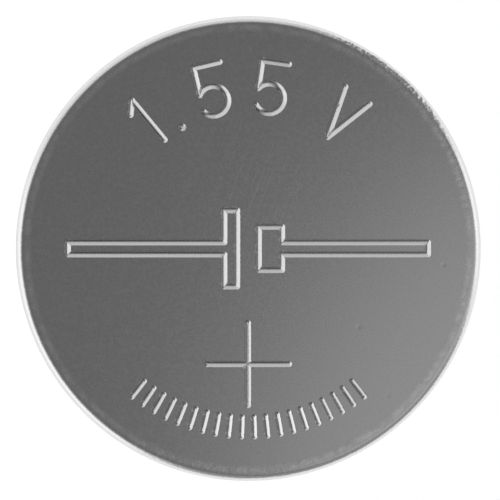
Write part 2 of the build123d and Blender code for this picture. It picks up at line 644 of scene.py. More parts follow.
@dataclass(frozen=True)
class CladSheet(Finish):
    """Bright clad sheet of the negative cap, with fine turned lines and light handling marks."""

    low: tuple[float, float, float] = (0.66, 0.655, 0.645)
    high: tuple[float, float, float] = (0.71, 0.705, 0.695)
    roughness: tuple[float, float] = (0.20, 0.30)
    grain_size: float = 0.06 * MM
    grain_depth: float = 0.0006 * MM
    scratch_turn: float = 35.0
    scratch_size: float = 0.06 * MM
    scratch_depth: float = 0.0006 * MM
    scratch_share: float = 0.5
    scratch_roughness: float = 0.10
    zone_size: float = 4.0 * MM
    zone_tones: tuple[float, float] = (0.42, 0.62)
    ring_pitch: float = 0.09 * MM
    ring_depth: float = 0.0004 * MM

    def material(self) -> bpy.types.Material:
        """Makes the sheet: grain, rings round the axis and hairlines.

        Returns:
            The material.
        """
        material, recipe, surface, coordinates = self.start("bright_clad_sheet")
        grain = recipe.effect(
            Effect.GRAIN, Vector=coordinates, Scale=1 / self.grain_size, Depth=self.grain_depth
        )
        turned = recipe.place(coordinates, turn=self.scratch_turn)
        zone = recipe.spread(recipe.noise(coordinates, 1 / self.zone_size), self.zone_tones)
        lines = recipe.effect(
            Effect.HAIRLINES,
            Vector=turned,
            Scale=1 / self.scratch_size,
            Share=self.scratch_share,
            Zone=zone,
        )
        recipe.feed(surface.inputs["Base Color"], recipe.tint(grain.outputs["Tone"], self.low, self.high))
        gloss = recipe.spread(grain.outputs["Tone"], (0.0, 1.0), self.roughness)
        dulling = recipe.maths(Maths.TIMES, lines.outputs[0], self.scratch_roughness)
        recipe.feed(surface.inputs["Roughness"], recipe.maths(Maths.ADD, gloss, dulling))
        surface.inputs["Metallic"].default_value = 1.0

        away = recipe.add("CombineXYZ")
        recipe.feed(away.inputs[0], recipe.radius(coordinates))
        rings = recipe.noise(away.outputs[0], 1 / self.ring_pitch, detail=3.0)
        height = recipe.maths(
            Maths.ADD, grain.outputs["Height"], recipe.maths(Maths.TIMES, rings, self.ring_depth)
        )
        cut = recipe.maths(Maths.TIMES, lines.outputs[0], self.scratch_depth)
        self.emboss(recipe, surface, recipe.maths(Maths.TAKE, height, cut))
        return material


@dataclass(frozen=True)
class MouldedNylon(Finish):
    """Milky nylon of the gasket, with a fine mould texture and faint cloudiness."""

    low: tuple[float, float, float] = (0.70, 0.68, 0.60)
    high: tuple[float, float, float] = (0.80, 0.78, 0.71)
    roughness: tuple[float, float] = (0.36, 0.50)
    cloud_size: float = 0.9 * MM
    cloud_tones: tuple[float, float] = (0.3, 0.7)
    grain_size: float = 0.05 * MM
    grain_depth: float = 0.0010 * MM
    milkiness: float = 0.15
    light_reach: tuple[float, float, float] = (0.3 * MM, 0.25 * MM, 0.2 * MM)

    def material(self) -> bpy.types.Material:
        """Makes the nylon: clouded colour, uneven gloss and mould grain.

        Returns:
            The material.
        """
        material, recipe, surface, coordinates = self.start("milky_moulded_nylon")
        cloud = recipe.noise(coordinates, 1 / self.cloud_size, detail=3.0)
        recipe.feed(surface.inputs["Base Color"], recipe.tint(cloud, self.low, self.high))
        recipe.feed(surface.inputs["Roughness"], recipe.spread(cloud, self.cloud_tones, self.roughness))
        surface.inputs["Subsurface Weight"].default_value = self.milkiness
        surface.inputs["Subsurface Radius"].default_value = self.light_reach
        grain = recipe.noise(coordinates, 1 / self.grain_size)
        self.emboss(recipe, surface, recipe.maths(Maths.TIMES, grain, self.grain_depth))
        return material


@dataclass(frozen=True)
class PressedPowder(Finish):
    """Powder pressed or bound into a mass: grains of two tones with small pits between them."""

    name: str
    low: tuple[float, float, float]
    high: tuple[float, float, float]
    roughness: tuple[float, float]
    metallic: tuple[float, float]
    grain_size: float
    grain_depth: float
    shine_tones: tuple[float, float] = (0.4, 0.9)
    pit_reach: tuple[float, float] = (0.2, 0.7)

    def material(self) -> bpy.types.Material:
        """Makes the powder from scattered grains, each with a tone, gloss and shine of its own.

        Returns:
            The material.
        """
        material, recipe, surface, coordinates = self.start(self.name)
        grains = recipe.cells(coordinates, 1 / self.grain_size)
        tone, gloss, shine = recipe.parts("SeparateColor", grains.outputs["Color"])
        recipe.feed(surface.inputs["Base Color"], recipe.tint(tone, self.low, self.high))
        recipe.feed(surface.inputs["Roughness"], recipe.spread(gloss, (0.0, 1.0), self.roughness))
        recipe.feed(surface.inputs["Metallic"], recipe.spread(shine, self.shine_tones, self.metallic))
        pits = recipe.spread(grains.outputs["Distance"], self.pit_reach, (self.grain_depth, 0.0))
        self.emboss(recipe, surface, pits)
        return material


@dataclass(frozen=True)
class ThinFilm(Finish):
    """Smooth yellowish film, faintly streaked along one direction."""

    low: tuple[float, float, float] = (0.74, 0.69, 0.56)
    high: tuple[float, float, float] = (0.82, 0.78, 0.66)
    roughness: tuple[float, float] = (0.25, 0.38)
    streak_size: float = 0.25 * MM
    streak_depth: float = 0.0015 * MM
    streak_draw: float = 0.1
    streak_tones: tuple[float, float] = (0.3, 0.7)

    def material(self) -> bpy.types.Material:
        """Makes the film from streaks of noise.

        Returns:
            The material.
        """
        material, recipe, surface, coordinates = self.start("barrier_film_sheet")
        drawn = recipe.place(coordinates, stretch=(1, self.streak_draw, 1))
        streaks = recipe.noise(drawn, 1 / self.streak_size)
        recipe.feed(surface.inputs["Base Color"], recipe.tint(streaks, self.low, self.high))
        recipe.feed(surface.inputs["Roughness"], recipe.spread(streaks, self.streak_tones, self.roughness))
        self.emboss(recipe, surface, recipe.maths(Maths.TIMES, streaks, self.streak_depth))
        return material


@dataclass(frozen=True)
class SoakedFelt(Finish):
    """Pale felt of tangled fibres: two layers of drawn-out noise that cross."""

    low: tuple[float, float, float] = (0.70, 0.69, 0.64)
    high: tuple[float, float, float] = (0.90, 0.89, 0.86)
    roughness: tuple[float, float] = (0.65, 0.90)
    fibre_size: float = 0.04 * MM
    fibre_depth: float = 0.012 * MM
    fibre_draw: float = 0.12
    fibre_turns: tuple[float, float] = (25.0, -50.0)
    fibre_tones: tuple[float, float] = (0.4, 0.8)

    def material(self) -> bpy.types.Material:
        """Makes the felt from crossing fibres.

        Returns:
            The material.
        """
        material, recipe, surface, coordinates = self.start("soaked_separator_felt")
        scale = 1 / self.fibre_size
        draw = self.fibre_draw
        along, across = (
            recipe.noise(recipe.place(coordinates, turn=turn, stretch=stretch), scale, detail=3.0)
            for turn, stretch in zip(self.fibre_turns, ((1, draw, 1), (draw, 1, 1)))
        )
        fibres = recipe.maths(Maths.LARGER, along, across)
        recipe.feed(surface.inputs["Base Color"], recipe.tint(fibres, self.low, self.high))
        recipe.feed(surface.inputs["Roughness"], recipe.spread(fibres, self.fibre_tones, self.roughness))
        self.emboss(recipe, surface, recipe.maths(Maths.TIMES, fibres, self.fibre_depth))
        return material


# Surfaces


@dataclass
class Surface:
    """Vertices and faces of one closed surface."""

    vertices: np.ndarray
    faces: list[list[int]]

    def joined(self, other: "Surface") -> "Surface":
        """Puts another surface beside this one.

        Args:
            other: The other surface.

        Returns:
            Both in one, with the other's faces counted on.
        """
        start = len(self.vertices)
        moved = [[index + start for index in face] for face in other.faces]
        return Surface(np.vstack([self.vertices, other.vertices]), self.faces + moved)

    def piece(self, name: str) -> bpy.types.Object:
        """Makes an object of the surface, with shared edges merged and smooth shading.

        Args:
            name: The object's name.

        Returns:
            The object, at the origin.
        """
        mesh = bpy.data.meshes.new(name)
        mesh.from_pydata(self.vertices.tolist(), [], self.faces)
        merged = bmesh.new()
        merged.from_mesh(mesh)
        bmesh.ops.remove_doubles(merged, verts=merged.verts, dist=WELD)
        merged.to_mesh(mesh)
        merged.free()
        mesh.polygons.foreach_set("use_smooth", np.ones(len(mesh.polygons), bool))
        mesh.update()
        return linked(name, mesh)


def linked(name: str, data: bpy.types.ID) -> bpy.types.Object:
    """Makes an object and puts it into the scene.

    Args:
        name: The object's name.
        data: Its mesh, lamp or camera.

    Returns:
        The object, at the origin.
    """
    item = bpy.data.objects.new(name, data)
    bpy.context.scene.collection.objects.link(item)
    return item


def arc(centre: tuple[float, float], radius: float, start: float, end: float, steps: int) -> np.ndarray:
    """Points of an arc: the centre plus the radius times the cosine and sine of even angles.

    Args:
        centre: The arc's centre.
        radius: Its radius.
        start: The first angle in degrees.
        end: The last angle in degrees.
        steps: How many steps lie between them.

    Returns:
        An array of points, one row each.
    """
    angles = np.radians(np.linspace(start, end, steps + 1))
    return np.column_stack([centre[0] + radius * np.cos(angles), centre[1] + radius * np.sin(angles)])


def run(start: tuple[float, float], end: tuple[float, float], steps: int) -> np.ndarray:
    """Points of a straight run: the start plus even shares of the way to the end.

    Args:
        start: The first point.
        end: The last point.
        steps: How many steps lie between them.

    Returns:
        An array of points, one row each.
    """
    share = np.linspace(0, 1, steps + 1)[:, None]
    return np.asarray(start) * (1 - share) + np.asarray(end) * share


def outline(*stretches: np.ndarray) -> np.ndarray:
    """Strings stretches together and leaves out a point that repeats the one before it.

    Args:
        *stretches: Runs and arcs in order.

    Returns:
        The whole outline's points.
    """
    points = np.vstack(stretches)
    apart = np.linalg.norm(np.diff(points, axis=0), axis=1) > SAME_POINT
    return points[np.concatenate([[True], apart])]


def lathe(profile: np.ndarray, segments: int) -> Surface:
    """Turns a profile about the axis.

    A point at radius r and height z becomes the ring (r cos a, r sin a, z) for even angles a, and a
    point on the axis stays one point. Rows are joined by quads, and by triangles at the axis. The
    profile runs outwards on top and downwards outside, so that the faces point out.

    Args:
        profile: Radius and height of each row, from the first to the last.
        segments: How many steps a turn has.

    Returns:
        The turned surface.
    """
    on_axis = profile[:, 0] < ON_AXIS
    first = np.concatenate([[0], np.cumsum(np.where(on_axis, 1, segments))[:-1]])
    step = np.arange(segments + 1) % segments
    index = first[:, None] + np.where(on_axis[:, None], 0, step[None, :])
    angle = np.linspace(0, 2 * math.pi, segments, endpoint=False)
    rings = np.stack(
        [
            profile[:, 0, None] * np.cos(angle),
            profile[:, 0, None] * np.sin(angle),
            np.repeat(profile[:, 1, None], segments, axis=1),
        ],
        axis=-1,
    )
    keep = ~on_axis[:, None] | (np.arange(segments) == 0)
    corners = (index[:-1, :-1], index[1:, :-1], index[1:, 1:], index[:-1, 1:])
    quads = np.stack(corners, axis=-1).reshape(-1, 4)
    top = quads[:, 0] == quads[:, 3]
    bottom = quads[:, 1] == quads[:, 2]
    faces = quads[~top & ~bottom].tolist()
    faces += quads[top][:, :3].tolist()
    faces += quads[bottom][:, [0, 1, 3]].tolist()
    return Surface(rings[keep], faces)


def nearest_offsets(points: np.ndarray, starts: np.ndarray, ends: np.ndarray) -> np.ndarray:
    """Offsets of points from straight pieces.

    The nearest point of a piece lies at a share of the way along it: the offset from its start times
    the way, over the way's square, clamped to the piece.

    Args:
        points: Points in a plane.
        starts: The start of each piece.
        ends: The end of each piece.

    Returns:
        The offset of each point from the nearest point of each piece.
    """
    way = ends - starts
    offset = points[:, None] - starts[None]
    share = np.clip((offset * way).sum(2) / (way**2).sum(1), 0, 1)
    return offset - share[..., None] * way[None]


@dataclass(frozen=True)
class Stroke:
    """One pressed line: the points of its middle, and half its width at the surface."""

    path: np.ndarray
    half_width: float
    fan_points: int = 28

    def turned(self, degrees: float, lift: float) -> "Stroke":
        """Lifts the stroke along +Y and then turns it about the axis.

        Args:
            degrees: The turn, anticlockwise.
            lift: How far it is lifted.

        Returns:
            The placed stroke.
        """
        angle = math.radians(degrees)
        turn = np.array([[math.cos(angle), math.sin(angle)], [-math.sin(angle), math.cos(angle)]])
        return Stroke((self.path + (0, lift)) @ turn, self.half_width)

    def points(self, shares: np.ndarray, step: float) -> np.ndarray:
        """Carries a row of points along the stroke and fans it round both ends.

        Each point is one on the middle line plus a share of the half width along the normal there.
        The fans are circles about the ends with the same shares as radii.

        Args:
            shares: Offsets across the stroke, as shares of the half width.
            step: The distance between rows.

        Returns:
            The points, one row each.
        """
        lengths = np.linalg.norm(np.diff(self.path, axis=0), axis=1)
        along = np.concatenate([[0], np.cumsum(lengths)])
        at = np.linspace(0, along[-1], max(2, round(along[-1] / step) + 1))
        middle = np.column_stack([np.interp(at, along, self.path[:, i]) for i in (0, 1)])
        heading = np.gradient(middle, axis=0) if len(middle) > 1 else np.array([[1.0, 0.0]])
        heading /= np.maximum(np.linalg.norm(heading, axis=1, keepdims=True), LEAST_LENGTH)
        normal = np.column_stack([-heading[:, 1], heading[:, 0]])
        rows = middle[:, None] + normal[:, None] * (shares * self.half_width)[None, :, None]
        angle = np.linspace(0, 2 * math.pi, self.fan_points, endpoint=False)
        circle = np.column_stack([np.cos(angle), np.sin(angle)])
        radii = (shares[shares > 0] * self.half_width)[None, :, None, None]
        fans = middle[[0, -1]][:, None, None] + radii * circle[None, None]
        return np.vstack([rows.reshape(-1, 2), fans.reshape(-1, 2)])

    def distance(self, points: np.ndarray) -> np.ndarray:
        """Gives each point's distance to the middle line."""
        apart = nearest_offsets(points, self.path[:-1], self.path[1:])
        return np.linalg.norm(apart, axis=2).min(axis=1)


@dataclass
class FaceMarks:
    """Marks pressed into the positive face: voltage, row of strokes, plus mark and circuit symbol."""

    depth: float = 0.053 * MM
    line: float = 0.120 * MM
    outer_radius: float = 4.75 * MM
    shoulder: float = 0.015 * MM
    lean: float = 0.72
    lean_turn: float = 150.0

    across_from: float = 0.55
    across_blend: float = 0.2
    # Painted highlight on one wall of each mark, painted shade on its bottom and steep wall
    rub_highlight_gain: float = 8.0
    rub_highlight_fade: float = 0.15
    rub_highlight_along: float = 0.2
    painted_shade_along: float = 0.6
    painted_shade_fade: float = 1.1
    painted_shade_reach: float = 1.5

    row_shares: tuple[float, ...] = (0.16, 0.32, 0.46, 0.60, 0.75, 0.90, 1.00, 1.06, 1.28, 1.52)
    row_step: float = 0.05 * MM
    row_slack: float = 0.02
    plain_pitch: float = 0.20 * MM
    plain_from: float = 1.6
    ring_clear: float = 0.05 * MM
    point_pitch: float = 0.004 * MM

    figure_height: float = 1.40 * MM
    figure_width: float = 0.86 * MM
    figure_gap: float = 0.38 * MM
    unit_gap: float = 0.75 * MM
    bowl_radius: float = 0.37 * MM
    bowl_opening: float = 70.0
    bowl_steps: int = 48
    flag_reach: float = 0.26 * MM
    point_diameter: float = 0.17 * MM

    stroke_count: int = 20
    stroke_pitch: float = 4.0
    stroke_length: float = 0.60 * MM
    stroke_width: float = 0.095 * MM

    plus_length: float = 2.17 * MM
    plus_gap: float = 0.18 * MM

    lead_end: float = 4.55 * MM
    symbol_gap: float = 0.42 * MM
    lead_width: float = 0.42 * MM
    long_plate: tuple[float, float] = (0.44 * MM, 2.02 * MM)
    short_plate: tuple[float, float] = (0.70 * MM, 1.20 * MM)

    strokes: list[Stroke] = field(default_factory=list)

    def __post_init__(self) -> None:
        """Lays out every mark."""
        self.strokes = [*self.voltage(), *self.row(), *self.plus(), *self.symbol()]

    def stroke(self, *points: tuple[float, float], width: float | None = None) -> Stroke:
        """Makes a stroke through points.

        Args:
            *points: The middle line's points.
            width: The pressed line's width, or none for that of the figures.

        Returns:
            The stroke, with its soft shoulder added to the width.
        """
        return Stroke(np.array(points, float), (width or self.line) / 2 + self.shoulder)

    def one(self) -> tuple[list[Stroke], float]:
        """Draws a figure one.

        Returns:
            Its strokes and its width.
        """
        top = self.figure_height - self.line / 2
        stem = self.flag_reach / 2
        upright = self.stroke((stem, self.line / 2), (stem, top))
        flag = self.stroke((stem, top), (stem - self.flag_reach, top - self.flag_reach))
        return [upright, flag], self.flag_reach + self.line

    def five(self) -> tuple[list[Stroke], float]:
        """Draws a figure five.

        Returns:
            Its strokes and its width.
        """
        top = self.figure_height - self.line / 2
        reach = (self.figure_width - self.line) / 2
        centre = (reach - self.bowl_radius, self.line / 2 + self.bowl_radius)
        half = self.bowl_opening / 2
        bowl = arc(centre, self.bowl_radius, 180 + half, 540 - half, self.bowl_steps)
        neck = bowl[-1]
        upright = self.stroke(tuple(neck), (neck[0], top))
        bar = self.stroke((neck[0], top), (reach, top))
        return [Stroke(bowl, upright.half_width), upright, bar], self.figure_width

    def unit(self) -> tuple[list[Stroke], float]:
        """Draws the sign for volts.

        Returns:
            Its strokes and its width.
        """
        top = self.figure_height - self.line / 2
        reach = (self.figure_width - self.line) / 2
        foot = (0.0, self.line / 2)
        return [self.stroke(foot, (-reach, top)), self.stroke(foot, (reach, top))], self.figure_width

    def point(self) -> tuple[list[Stroke], float]:
        """Draws the decimal point, a stroke as long as a hair is thin.

        Returns:
            Its stroke and its width.
        """
        height = self.point_diameter / 2
        hair = 0.001 * MM
        dot = self.stroke((-hair, height), (hair, height), width=self.point_diameter)
        return [dot], self.point_diameter

    def voltage(self) -> list[Stroke]:
        """Draws the nominal voltage, upright along an arc centred on +Y.

        Returns:
            The strokes of all its signs.
        """
        signs = [self.one(), self.point(), self.five(), self.five(), self.unit()]
        gaps = [0.0, self.figure_gap, self.figure_gap, self.figure_gap, self.unit_gap]
        base = self.outer_radius - self.figure_height
        widths = np.array([width for _, width in signs])
        starts = np.cumsum(gaps) + np.concatenate([[0.0], np.cumsum(widths)[:-1]])
        middle = (starts[-1] + widths[-1]) / 2
        turns = np.degrees((middle - starts - widths / 2) / base)
        return [part.turned(turn, base) for (parts, _), turn in zip(signs, turns) for part in parts]

    def row(self) -> list[Stroke]:
        """Draws the equal radial strokes along the lower arc, centred on -Y.

        Returns:
            The strokes.
        """
        inset = self.stroke_width / 2
        low = (0.0, self.outer_radius - self.stroke_length + inset)
        high = (0.0, self.outer_radius - inset)
        first = 180 - self.stroke_pitch * (self.stroke_count - 1) / 2
        one = self.stroke(low, high, width=self.stroke_width)
        return [one.turned(first + self.stroke_pitch * i, 0.0) for i in range(self.stroke_count)]

    def plus(self) -> list[Stroke]:
        """Draws the plus mark, which stands above the row of strokes.

        Returns:
            Its two bars.
        """
        half = self.plus_length / 2
        centre = self.stroke_length + self.plus_gap + half - self.outer_radius
        reach = half - self.line / 2
        across = self.stroke((-reach, centre), (reach, centre))
        upright = self.stroke((0.0, centre - reach), (0.0, centre + reach))
        return [across, upright]

    def symbol(self) -> list[Stroke]:
        """Draws the outlines of the two plates and their leads.

        Returns:
            The strokes of both outlines.
        """
        strokes = []
        inset = self.line / 2
        for side, (width, height) in ((-1, self.long_plate), (1, self.short_plate)):
            near = self.symbol_gap / 2 + inset
            far = self.symbol_gap / 2 + width - inset
            tip = self.lead_end - inset
            tall = height / 2 - inset
            low = self.lead_width / 2 - inset
            half = [(near, 0.0), (near, tall), (far, tall), (far, low), (tip, low), (tip, 0.0)]
            for flip in (1, -1):
                corners = [(side * x, flip * y) for x, y in half]
                strokes += [self.stroke(a, b) for a, b in zip(corners, corners[1:])]
        return strokes

    def offsets(self, points: np.ndarray) -> np.ndarray:
        """Gives each point's offset from the middle of the nearest stroke, in its half widths.

        Of all the straight pieces of all the strokes, the one with the shortest offset counts.

        Args:
            points: Points in the face plane.

        Returns:
            One offset for each point, of length 0 on a middle line and 1 at the edge of a mark.
        """
        starts = np.vstack([stroke.path[:-1] for stroke in self.strokes])
        ends = np.vstack([stroke.path[1:] for stroke in self.strokes])
        halves = np.concatenate([np.full(len(s.path) - 1, s.half_width) for s in self.strokes])
        apart = nearest_offsets(points, starts, ends) / halves[:, None]
        nearest = np.linalg.norm(apart, axis=2).argmin(axis=1)
        return apart[np.arange(len(points)), nearest]

    def nearness(self, points: np.ndarray) -> np.ndarray:
        """Gives each point's distance to the nearest stroke, as a share of its half width."""
        return np.linalg.norm(self.offsets(points), axis=1)

    def section(self, points: np.ndarray) -> tuple[np.ndarray, np.ndarray]:
        """Gives where points lie in the section of their mark, and where its bottom lies.

        Both are measured from the middle line towards the point, in half widths. The punch leans, so
        the bottom is moved from the middle line by the lean towards the side that it leans to.

        Args:
            points: Points in the face plane.

        Returns:
            The place of each point, which is 1 at the edge of the mark, and that of the bottom.
        """
        offset = self.offsets(points)
        near = np.linalg.norm(offset, axis=1)
        outwards = offset / np.maximum(near, LEAST_SHARE)[:, None]
        angle = math.radians(self.lean_turn)
        bottom = self.lean * (outwards @ np.array([math.cos(angle), math.sin(angle)]))
        return near, bottom

    def sunk(self, points: np.ndarray) -> np.ndarray:
        """Gives how deep the marks are, from 0 at a mark's edge to 1 at its bottom.

        The section is a leaning V: from either edge the depth grows evenly up to the bottom.

        Args:
            points: Points in the face plane.

        Returns:
            One share of the full depth for each point.
        """
        near, bottom = self.section(points)
        deep = np.where(near >= bottom, (1 - near) / (1 - bottom), (1 + near) / (1 + bottom))
        return np.maximum(deep, 0)

    def burnish_and_painted_light(self, points: np.ndarray) -> np.ndarray:
        """Gives how far burnishing and painted highlight lighten points, and painted shade where negative.

        In strokes across the lean it grows from -1, painted shade, at the bottom to 1 at a quarter of the
        height above it, fades to 0 at the edge, and is -1 on the steep wall, painted shade that fades out
        at one and a half half widths from the middle line, past the mark's edge. Strokes along the lean
        get lighter painted highlight and painted shade.

        Args:
            points: Points in the face plane.

        Returns:
            One share for each point, 0 on the plain face.
        """
        near, bottom = self.section(points)
        across = np.clip((np.abs(bottom) / self.lean - self.across_from) / self.across_blend, 0, 1)
        climb = np.clip(self.rub_highlight_gain * (1 - self.sunk(points)) - 1, -1, 1)
        raised = across * climb + (1 - across) * self.rub_highlight_along
        rub_highlight = raised * np.clip((1 - near) / self.rub_highlight_fade, 0, 1)
        # Painted shade on the steep wall, which spreads past the mark's edge onto the plain face
        steep = (near > bottom) & (bottom > 0)
        painted_shade_share = (self.painted_shade_along + (1 - self.painted_shade_along) * across) * steep
        faded = np.clip(self.painted_shade_fade * (self.painted_shade_reach - near), 0, 1)
        return (1 - painted_shade_share) * rub_highlight - painted_shade_share * faded

    def samples(self, radius: float, segments: int) -> np.ndarray:
        """Gives the points that the face's surface needs.

        Rows are carried along each stroke and kept where that stroke is the nearest, coarse points
        fill the plain parts, and a ring closes the face.

        Args:
            radius: The face's radius.
            segments: How many points its ring has.

        Returns:
            The points, one row each.
        """
        half = np.array(self.row_shares)
        shares = np.concatenate([-half[::-1], [0.0], half])
        kept = []
        for stroke in self.strokes:
            own = stroke.points(shares, self.row_step)
            alone = stroke.distance(own) / stroke.half_width
            kept.append(own[alone <= self.nearness(own) + self.row_slack])
        plain = self.plain_points(radius)
        points = np.vstack([*kept, plain[self.nearness(plain) > self.plain_from]])
        points = points[np.linalg.norm(points, axis=1) < radius - self.ring_clear]
        grid = np.round(points / self.point_pitch).astype(int)
        _, chosen = np.unique(grid, axis=0, return_index=True)
        edge = arc((0, 0), radius, 0, 360, segments)[:-1]
        return np.vstack([points[np.sort(chosen)], edge])

    def plain_points(self, radius: float) -> np.ndarray:
        """Gives the centre and rings round it, with points about as far apart as the rings are.

        Args:
            radius: The face's radius, which the rings stop short of.

        Returns:
            The points, one row each.
        """
        pitch = self.plain_pitch
        count = int(radius / pitch)
        rings = np.linspace(radius / count, radius, count, endpoint=False)
        counts = [max(6, round(2 * math.pi * ring / pitch)) for ring in rings]
        fill = [arc((0, 0), ring, 0, 360, steps)[:-1] for ring, steps in zip(rings, counts)]
        return np.vstack([np.zeros((1, 2)), *fill])

    def surface(self, radius: float, segments: int, height: float) -> Surface:
        """Makes the face: height is the face's level less the depth times how far a point is sunk.

        Args:
            radius: The face's radius.
            segments: How many points its ring has.
            height: The level of the plain face.

        Returns:
            The face, with triangles that point up.
        """
        points = self.samples(radius, segments) / MM
        flat = [Vector(point) for point in points.tolist()]
        placed, _, triangles, *_ = delaunay_2d_cdt(flat, [], [], 0, 1e-7)
        plane = np.array([tuple(point) for point in placed]) * MM
        level = height - self.depth * self.sunk(plane)
        corners = np.array(triangles)
        a, b, c = (plane[corners[:, i]] for i in range(3))
        area = (b[:, 0] - a[:, 0]) * (c[:, 1] - a[:, 1]) - (b[:, 1] - a[:, 1]) * (c[:, 0] - a[:, 0])
        corners[area < 0] = corners[area < 0][:, ::-1]
        return Surface(np.column_stack([plane, level]), corners[np.abs(area) > FLAT_AREA].tolist())


# Pieces of the cell


@dataclass
class PositiveCan:
    """The drawn can: face with its marks, corner, wall, curled mouth and the sheet's inside."""

    finish: PlatedSteel
    marks: FaceMarks = field(default_factory=FaceMarks)
    sheet: float = 0.25 * MM
    corner_outside: float = 0.20 * MM
    corner_inside: float = 0.06 * MM
    curl_inside: float = 0.45 * MM
    lip_length: float = 0.15 * MM
    lip_edge: float = 0.03 * MM
    face_margin: float = 0.25 * MM
    segments: int = 320

    def profile(self, radius: float, low: float, high: float) -> np.ndarray:
        """Gives the sheet's outline from the face's ring, round the outside and back inside.

        Args:
            radius: The can's outer radius.
            low: The height of its curled mouth.
            high: The height of its face.

        Returns:
            Radius and height of each row.
        """
        curl = self.curl_inside + self.sheet
        curl_centre = (radius - curl, low + curl)
        lip = radius - curl - self.lip_length
        bore = radius - self.sheet
        edge = self.lip_edge
        inside = self.corner_inside
        face_end = radius - self.corner_outside - self.face_margin
        floor = high - self.sheet
        return outline(
            run((face_end, high), (radius - self.corner_outside, high), 4),
            arc((radius - self.corner_outside, high - self.corner_outside), self.corner_outside, 90, 0, 18),
            run((radius, high - self.corner_outside), (radius, low + curl), 10),
            arc(curl_centre, curl, 0, -90, 18),
            run((curl_centre[0], low), (lip + edge, low), 2),
            arc((lip + edge, low + edge), edge, -90, -180, 5),
            arc((lip + edge, low + self.sheet - edge), edge, 180, 90, 5),
            run((lip + edge, low + self.sheet), (curl_centre[0], low + self.sheet), 2),
            arc(curl_centre, self.curl_inside, -90, 0, 12),
            run((bore, curl_centre[1]), (bore, floor - inside), 6),
            arc((bore - inside, floor - inside), inside, 0, 90, 5),
            run((bore - inside, floor), (0.0, floor), 12),
        )

    def build(self) -> bpy.types.Object:
        """Builds the can in place of its solid and dresses it.

        Returns:
            The can's object.
        """
        low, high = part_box("positive_can")
        profile = self.profile(high.x, low.z, high.z)
        face = self.marks.surface(profile[0, 0], self.segments, high.z)
        piece = face.joined(lathe(profile, self.segments)).piece("can_shell")
        self.mark(piece)
        piece.data.materials.append(self.finish.material())
        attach(piece, BODY)
        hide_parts("positive_can")
        return piece

    def mark(self, piece: bpy.types.Object) -> None:
        """Writes each face point's burnishing and painted highlight, negative for painted shade, for the
        finish to read.

        Args:
            piece: The can's object.
        """
        mesh = piece.data
        points = np.zeros(len(mesh.vertices) * 3, np.float32)
        mesh.vertices.foreach_get("co", points)
        points = points.reshape(-1, 3).astype(float)
        top = points[:, 2].max()
        on_face = points[:, 2] > top - 2 * self.marks.depth
        # Burnishing and painted highlight are positive, painted shade negative
        painted_light_share = np.zeros(len(points), np.float32)
        painted_light_share[on_face] = self.marks.burnish_and_painted_light(points[on_face, :2])
        mesh.attributes.new(MARK_LIGHT_AND_SHADE, "FLOAT", "POINT").data.foreach_set("value", painted_light_share)


@dataclass
class NegativeCap:
    """The stepped cap: contact, wall, shoulder, skirt and its rim folded back outside."""

    finish: CladSheet
    sheet: float = 0.18 * MM
    contact_radius: float = 4.60 * MM
    shoulder: float = 0.70 * MM
    inside_bend: float = 0.08 * MM
    hem_gap: float = 0.04 * MM
    hem_end: float = 1.03 * MM
    edge_round: float = 0.02 * MM
    segments: int = 256

    def profile(self, radius: float, top: float) -> np.ndarray:
        """Gives the sheet's outline, up its inner side and back down outside.

        Args:
            radius: The skirt's outer radius.
            top: The height of the folded rim.

        Returns:
            Radius and height of each row.
        """
        sheet = self.sheet
        bend = self.inside_bend
        wide = bend + sheet
        ply = radius - sheet - self.hem_gap
        fold = (ply + self.hem_gap / 2, top - sheet - self.hem_gap / 2)
        wall = self.contact_radius
        level = self.shoulder
        rim = self.edge_round
        return outline(
            run((0.0, sheet), (wall - wide, sheet), 6),
            arc((wall - wide, wide), bend, -90, 0, 5),
            run((wall - sheet, wide), (wall - sheet, level + sheet - wide), 3),
            arc((wall + bend, level - bend), wide, 180, 90, 9),
            run((wall + bend, level + sheet), (ply - wide, level + sheet), 2),
            arc((ply - wide, level + wide), bend, -90, 0, 5),
            run((ply - sheet, level + wide), (ply - sheet, fold[1]), 4),
            arc(fold, sheet + self.hem_gap / 2, 180, 0, 16),
            run((radius, fold[1]), (radius, self.hem_end + rim), 4),
            arc((radius - rim, self.hem_end + rim), rim, 0, -90, 4),
            arc((radius - sheet + rim, self.hem_end + rim), rim, -90, -180, 4),
            run((radius - sheet, self.hem_end + rim), (radius - sheet, fold[1]), 4),
            arc(fold, self.hem_gap / 2, 0, 180, 8),
            run((ply, fold[1]), (ply, level + wide), 4),
            arc((ply - wide, level + wide), wide, 0, -90, 9),
            run((ply - wide, level), (wall + bend, level), 2),
            arc((wall + bend, level - bend), bend, 90, 180, 5),
            run((wall, level - bend), (wall, wide), 3),
            arc((wall - wide, wide), wide, 0, -90, 14),
            run((wall - wide, 0.0), (0.0, 0.0), 16),
        )

    def build(self) -> bpy.types.Object:
        """Builds the cap in place of its solid and dresses it.

        Returns:
            The cap's object.
        """
        _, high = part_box("negative_cap")
        piece = lathe(self.profile(high.x, high.z), self.segments).piece("cap_shell")
        piece.data.materials.append(self.finish.material())
        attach(piece, BODY)
        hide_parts("negative_cap")
        return piece


